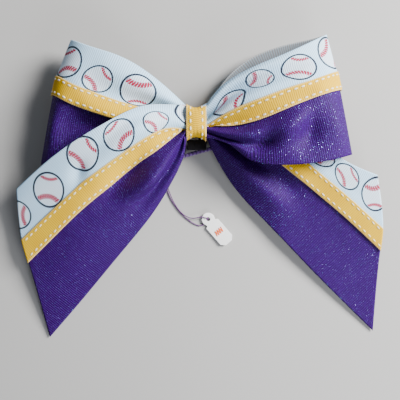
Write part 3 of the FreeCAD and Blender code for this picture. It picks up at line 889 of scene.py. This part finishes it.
def knot_wrap(materials):
    turns = np.linspace(0.0, 1.0, WRAP_ROWS)
    xs = np.linspace(WRAP_X0 + WRAP_INSET, WRAP_X1 - WRAP_INSET, WRAP_COLUMNS)
    middle = wrap_surface(turns, xs)
    middle[-1] = middle[0]
    normal = grid_normals(middle)
    normal[0] = normal[-1] = (0.0, 0.0, -1.0)
    top_row = WRAP_ROWS // 2
    if normal[top_row, WRAP_COLUMNS // 2, 2] < 0:
        normal = -normal
    length = lengths_along(middle)
    across = np.linspace(*SPANS["yellow"], len(xs))
    coords = np.stack([length, np.broadcast_to(across, length.shape)], axis=2)
    builder = Builder()
    top = middle + normal * 0.5 * WRAP_CLOTH
    cloth_skin(builder, top, middle - normal * 0.5 * WRAP_CLOTH, coords)
    for v_line in (across[0] + STITCH_INSET, across[-1] - STITCH_INSET):
        add_stitches(builder, top, normal, length, across, v_line, first=1.3)
    return builder.build("knot_wrap_cloth", materials)


def gather_piece(ribbon, materials):
    """The ribbon where the three layers pass through the wrap, pinched into tight pleats."""
    builder = Builder()
    v0, v1 = SPANS[ribbon]
    across = np.linspace(v0, v1, max(16, int((v1 - v0) * 2)))
    xs = np.linspace(-GATHER_HALF, GATHER_HALF, 17)
    half = GATHER_WAIST + GATHER_FLARE * (xs / GATHER_HALF) ** 2
    ripple = GATHER_RIPPLE * np.sin(2 * math.pi * GATHER_WAVES * across / STRIP_WIDTH + 0.6)
    coords = np.stack(np.broadcast_arrays(xs[:, None] + GATHER_HALF, across[None, :]), axis=2)
    lift = np.array([0.0, 0.0, 0.5 * CLOTH])
    for z, side in ((BACK_Z, -1.0), (MIDDLE_Z, 1.0), (FRONT_Z, 1.0)):
        points = np.zeros((len(xs), len(across), 3))
        points[..., 0] = xs[:, None]
        points[..., 1] = half[:, None] * (2.0 * across[None, :] / STRIP_WIDTH - 1.0)
        points[..., 2] = z + ripple[None, :] + side * 0.5 * layer_offset(ribbon, across)[None, :]
        cloth_skin(builder, points + lift, points - lift, coords)
    return builder.build("gathered_" + ribbon, materials)


def closed_path(points, z, count):
    """A rounded ring through a plan outline, evenly divided."""
    corners = np.array(points, float)
    dense = []
    for i, here in enumerate(corners):
        before = corners[i - 1] - here
        after = corners[(i + 1) % len(corners)] - here
        short = min(np.linalg.norm(before), np.linalg.norm(after))
        reach = min(CORNER_SHARE * short, CORNER_REACH)
        a = here + before / np.linalg.norm(before) * reach
        b = here + after / np.linalg.norm(after) * reach
        for t in np.linspace(0, 1, 12):
            dense.append((1 - t) ** 2 * a + 2 * t * (1 - t) * here + t * t * b)
    dense.append(dense[0])
    dense = np.array(dense)
    steps = np.concatenate([[0], np.cumsum(np.linalg.norm(np.diff(dense, axis=0), axis=1))])
    places = np.linspace(0, steps[-1], count + 1)[:-1]
    ring = np.stack([np.interp(places, steps, dense[:, k]) for k in (0, 1)], axis=1)
    return np.column_stack([ring, np.full(count, z)]), places


def hair_elastic(material):
    """A closed tube along the ring, whose surface swells where the braid's strands pass."""
    ring, places = closed_path(ELASTIC_PATH, ELASTIC_Z, ELASTIC_RINGS)
    ahead = np.roll(ring, -1, axis=0) - np.roll(ring, 1, axis=0)
    ahead /= np.linalg.norm(ahead, axis=1, keepdims=True)
    up = np.array([0.0, 0.0, 1.0])
    side = np.cross(ahead, up)
    ring = np.vstack([ring, ring[:1]])[:, None]
    side = np.vstack([side, side[:1]])[:, None]
    reached = np.append(places, places[-1] + places[1])[:, None]
    turns = np.linspace(0.0, 2 * math.pi, ELASTIC_SIDES + 1)
    forward = reached * BRAID_TURNS
    braid = np.maximum(np.sin(forward + turns * 2), np.sin(forward - turns * 2))
    radius = ELASTIC_R - 0.08 + BRAID_DEPTH * braid
    spokes = side * np.cos(turns)[:, None] + up * np.sin(turns)[:, None]
    builder = Builder()
    coords = np.stack(np.broadcast_arrays(reached, turns / 3.0), axis=2)
    builder.grid(ring + spokes * radius[..., None], coords, FACE, False)
    return builder.build("braided_ring", [material])


def beveled(name, mesh, width, material):
    bmesh.ops.recalc_face_normals(mesh, faces=mesh.faces)
    obj = from_bmesh(name, mesh, material)
    bevel = obj.modifiers.new("bevel", "BEVEL")
    bevel.width = width * MM
    bevel.segments = 3
    bevel.limit_method = "ANGLE"
    obj.modifiers.new("weighted", "WEIGHTED_NORMAL")
    return obj


def add_block(mesh, centre, size, taper=1.0):
    made = bmesh.ops.create_cube(mesh, size=1.0)
    for vert in made["verts"]:
        vert.co = Vector((vert.co.x * size[0], vert.co.y * size[1], vert.co.z * size[2]))
        if vert.co.z > 0:
            vert.co.x *= taper
            vert.co.y *= taper
        vert.co = (vert.co + Vector(centre)) * MM


def cinch_tie(material):
    """The tie's ratchet head, neck and pawl, and its band round the pleats. The near-black head also fills
    the dark patch below the knot, as painted shade.
    """
    mesh = bmesh.new()
    for centre, size, taper in TIE_BLOCKS:
        add_block(mesh, centre, size, taper)
    rings = []
    for i in range(BAND_STEPS):
        turn = 2 * math.pi * i / BAND_STEPS
        y = BAND_HALF_WIDTH * math.copysign(abs(math.sin(turn)) ** 0.8, math.sin(turn))
        z = BAND_HALF_HEIGHT * math.copysign(abs(math.cos(turn)) ** 0.8, math.cos(turn))
        corners = []
        for x, share in zip(BAND_X, BAND_SHARES):
            corners.append(mesh.verts.new(Vector((x, y * share, BAND_Z - z * share)) * MM))
        rings.append(corners)
    for i in range(BAND_STEPS):
        a = rings[i]
        b = rings[(i + 1) % BAND_STEPS]
        for k in range(4):
            mesh.faces.new((a[k], a[(k + 1) % 4], b[(k + 1) % 4], b[k]))
    return beveled("cable_tie", mesh, 0.35, material)


def tag_outline():
    """A round head with a notched neck, and a body whose foot has cut corners."""
    points = []
    for turn in np.linspace(math.radians(62), math.radians(298), 25):
        points.append((TAG_HEAD_R * math.cos(turn), TAG_HEAD_R * math.sin(turn)))
    points += [(2.3, -2.7), (3.1, -TAG_HALF), (TAG_FOOT - TAG_CUT, -TAG_HALF),
               (TAG_FOOT, TAG_CUT - TAG_HALF), (TAG_FOOT, TAG_HALF - TAG_CUT),
               (TAG_FOOT - TAG_CUT, TAG_HALF), (3.1, TAG_HALF), (2.3, 2.7)]
    return points


def tag_place(x, y, z):
    turn = math.radians(TAG_TURN)
    return Vector((TAG_HOLE[0] + x * math.cos(turn) - y * math.sin(turn),
                   TAG_HOLE[1] + x * math.sin(turn) + y * math.cos(turn), TAG_Z + z)) * MM


def tag_curl(x, y):
    """The card is slightly cupped."""
    return 0.05 + 0.0022 * (x - 6.0) ** 2 - 0.004 * y * y


def price_tag(material):
    """A card tag with a punched hole and a slight curl."""
    turns = np.linspace(0, 2 * math.pi, 25)[:-1]
    hole = [(TAG_HOLE_R * math.cos(t), TAG_HOLE_R * math.sin(t)) for t in turns]
    mesh = bmesh.new()
    loops = []
    for ring in (tag_outline(), hole):
        verts = [mesh.verts.new(Vector((x, y, 0.0))) for x, y in ring]
        loops += [mesh.edges.new((verts[i], verts[(i + 1) % len(verts)])) for i in range(len(verts))]
    bmesh.ops.triangle_fill(mesh, edges=loops, use_beauty=True)
    bmesh.ops.subdivide_edges(mesh, edges=mesh.edges, cuts=2, use_grid_fill=True)
    top = list(mesh.faces)
    made = bmesh.ops.extrude_face_region(mesh, geom=top)
    for item in made["geom"]:
        if isinstance(item, bmesh.types.BMVert):
            item.co.z += TAG_THICK
    for vert in mesh.verts:
        vert.co = tag_place(vert.co.x, vert.co.y, vert.co.z + tag_curl(vert.co.x, vert.co.y) - 0.02)
    return beveled("string_tag", mesh, 0.06, material)


def round_line(name, points, thick, bevel_steps, steps, material):
    """A smooth round line led by a list of points, which are in metres."""
    curve = bpy.data.curves.new(name, "CURVE")
    curve.dimensions = "3D"
    curve.bevel_depth = 0.5 * thick * MM
    curve.bevel_resolution = bevel_steps
    curve.resolution_u = steps
    line = curve.splines.new("NURBS")
    line.points.add(len(points) - 1)
    for point, place in zip(line.points, points):
        point.co = (place[0], place[1], place[2], 1.0)
    line.order_u = 3
    line.use_endpoint_u = True
    curve.materials.append(material)
    return link(name, curve)


def tag_mark(material):
    """A plain zigzag of pen on the card, in place of the handwriting."""
    points = []
    for share in np.linspace(0.0, 1.0, MARK_POINTS):
        x = MARK_X + MARK_REACH * math.cos(MARK_SWINGS * math.pi * share)
        y = MARK_SPAN * (share - 0.5)
        points.append(tag_place(x, y, 0.36 + tag_curl(x, y)))
    return round_line("tag_mark", points, 0.5, 2, 12, material)


def tag_thread(material):
    points = [[c * MM for c in place] for place in THREAD_ROUTE]
    return round_line("purple_thread", points, THREAD_THICK, 3, 16, material)


# ---- camera and light

# Everything here is in metres, but the lens and sensor
CAMERA_PLACE = (0.00168, -0.0378, 0.260)
CAMERA_LENS = 45.5
SENSOR_WIDTH = 36.0

# Square area lights: place, target, side, power in watts, colour
LIGHTS = {
    "window": ((0.52, 0.22, 0.38), (0, -0.02, 0), 0.30, 19.2, (1.0, 0.99, 0.97)),
    "fill": ((0.28, -0.50, 0.30), (-0.02, -0.02, 0), 0.25, 2.9, (0.95, 0.97, 1.0)),
}
ROOM_COLOR = (0.80, 0.86, 0.95, 1.0)
ROOM_STRENGTH = 0.24
FLOOR_HALF = 1.5
FLOOR_Z = -0.0001


def add_camera():
    """Straight above the bow, as in the photo."""
    camera = link("camera", bpy.data.cameras.new("camera"))
    camera.location = CAMERA_PLACE
    camera.data.sensor_width = SENSOR_WIDTH
    camera.data.lens = CAMERA_LENS
    camera.data.clip_start = 0.01
    bpy.context.scene.camera = camera


def add_lights():
    for name, (location, target, size, power, color) in LIGHTS.items():
        light = bpy.data.lights.new(name, "AREA")
        light.shape = "RECTANGLE"
        light.size = size
        light.size_y = size
        light.energy = power
        light.color = color
        obj = link(name, light)
        obj.location = location
        obj.rotation_euler = (Vector(target) - Vector(location)).to_track_quat("-Z", "Y").to_euler()
    world = bpy.data.worlds.new("studio")
    world.use_nodes = True
    world.node_tree.nodes["Background"].inputs[0].default_value = ROOM_COLOR
    world.node_tree.nodes["Background"].inputs[1].default_value = ROOM_STRENGTH
    bpy.context.scene.world = world


def add_floor(material):
    mesh = bmesh.new()
    bmesh.ops.create_grid(mesh, x_segments=2, y_segments=2, size=FLOOR_HALF)
    floor = from_bmesh("floor", mesh, material)
    floor.location = (0, 0, FLOOR_Z)


# ---- putting it together

def ribbon_materials():
    """Each ribbon's face, back and stitches. The white ribbon's back is a dark grey-blue in place of white,
    as painted shade. The wrap's layers show the white ribbon's back only.
    """
    yellow = plain_ribbon("yellow_grosgrain", rgb(0.74, 0.43, 0.004), rgb(0.88, 0.56, 0.012), "yellow")
    stitch = thread_material("cream_stitch", rgb(0.62, 0.55, 0.40), rgb(0.92, 0.87, 0.74), 2500.0)
    purple_back = plain_ribbon("purple_reverse", rgb(0.040, 0.006, 0.20), rgb(0.060, 0.012, 0.27), "purple")
    # painted shade: the white ribbon's back is given a dark grey-blue in place of white
    white_back_painted_shade = plain_ribbon("white_reverse_painted_shade", rgb(0.16, 0.22, 0.27), rgb(0.20, 0.27, 0.32), "white")
    return {
        "purple": [glitter_ribbon(), purple_back],
        "yellow": [yellow, yellow, stitch],
        "white": [ball_ribbon(), white_back_painted_shade],
        "plain_white_painted_shade": [white_back_painted_shade, white_back_painted_shade],
    }


def add_section(name, line, stretch, materials):
    """The three ribbons of one stretch of a line of the strip, such as the front of a loop."""
    side, part = name.split("_")[:2]
    for ribbon in SPANS:
        node = "%s_%s" % (name, ribbon)
        piece = ribbon_piece(node + "_cloth", side + "_" + part, line, ribbon, *stretch, materials[ribbon])
        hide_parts(node)
        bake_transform(piece)


def add_ribbons(materials):
    for side, line in (("left", LEFT_TAIL), ("right", RIGHT_TAIL)):
        add_section(side + "_tail", line, (0.0, 1.0), materials)
    for side, line in (("left", LEFT_LOOP), ("right", RIGHT_LOOP)):
        add_section(side + "_loop_front", line, (0.0, 0.5), materials)
        add_section(side + "_loop_back", line, (0.5, 1.0), materials)


def settle(piece, node, body):
    """Hides the CAD node that a rigid piece replaces, and gives the piece its body."""
    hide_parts(node)
    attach(piece, body)


def add_knot(materials):
    settle(knot_wrap(materials["yellow"]), "knot_wrap", "knot")
    for ribbon in SPANS:
        # the white layers inside the wrap take the white back's painted shade
        piece = gather_piece(ribbon, materials["plain_white_painted_shade" if ribbon == "white" else ribbon])
        settle(piece, "gather_" + ribbon, "knot")
    settle(cinch_tie(tie_plastic_painted_shade()), "cinch_tie", "knot")


def add_elastic_and_tag():
    settle(hair_elastic(braided_elastic()), "hair_elastic", "elastic")
    settle(price_tag(tag_card()), "price_tag", "tag")
    mark = tag_mark(pen_ink())
    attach(mark, "tag")
    cotton = thread_material("purple_cotton", rgb(0.045, 0.005, 0.07), rgb(0.16, 0.03, 0.21), 4000.0)
    thread = tag_thread(cotton)
    settle(thread, "tag_thread", "elastic")


def main():
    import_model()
    add_camera()
    add_lights()
    add_floor(floor_material())
    materials = ribbon_materials()
    add_ribbons(materials)
    add_knot(materials)
    add_elastic_and_tag()


main()
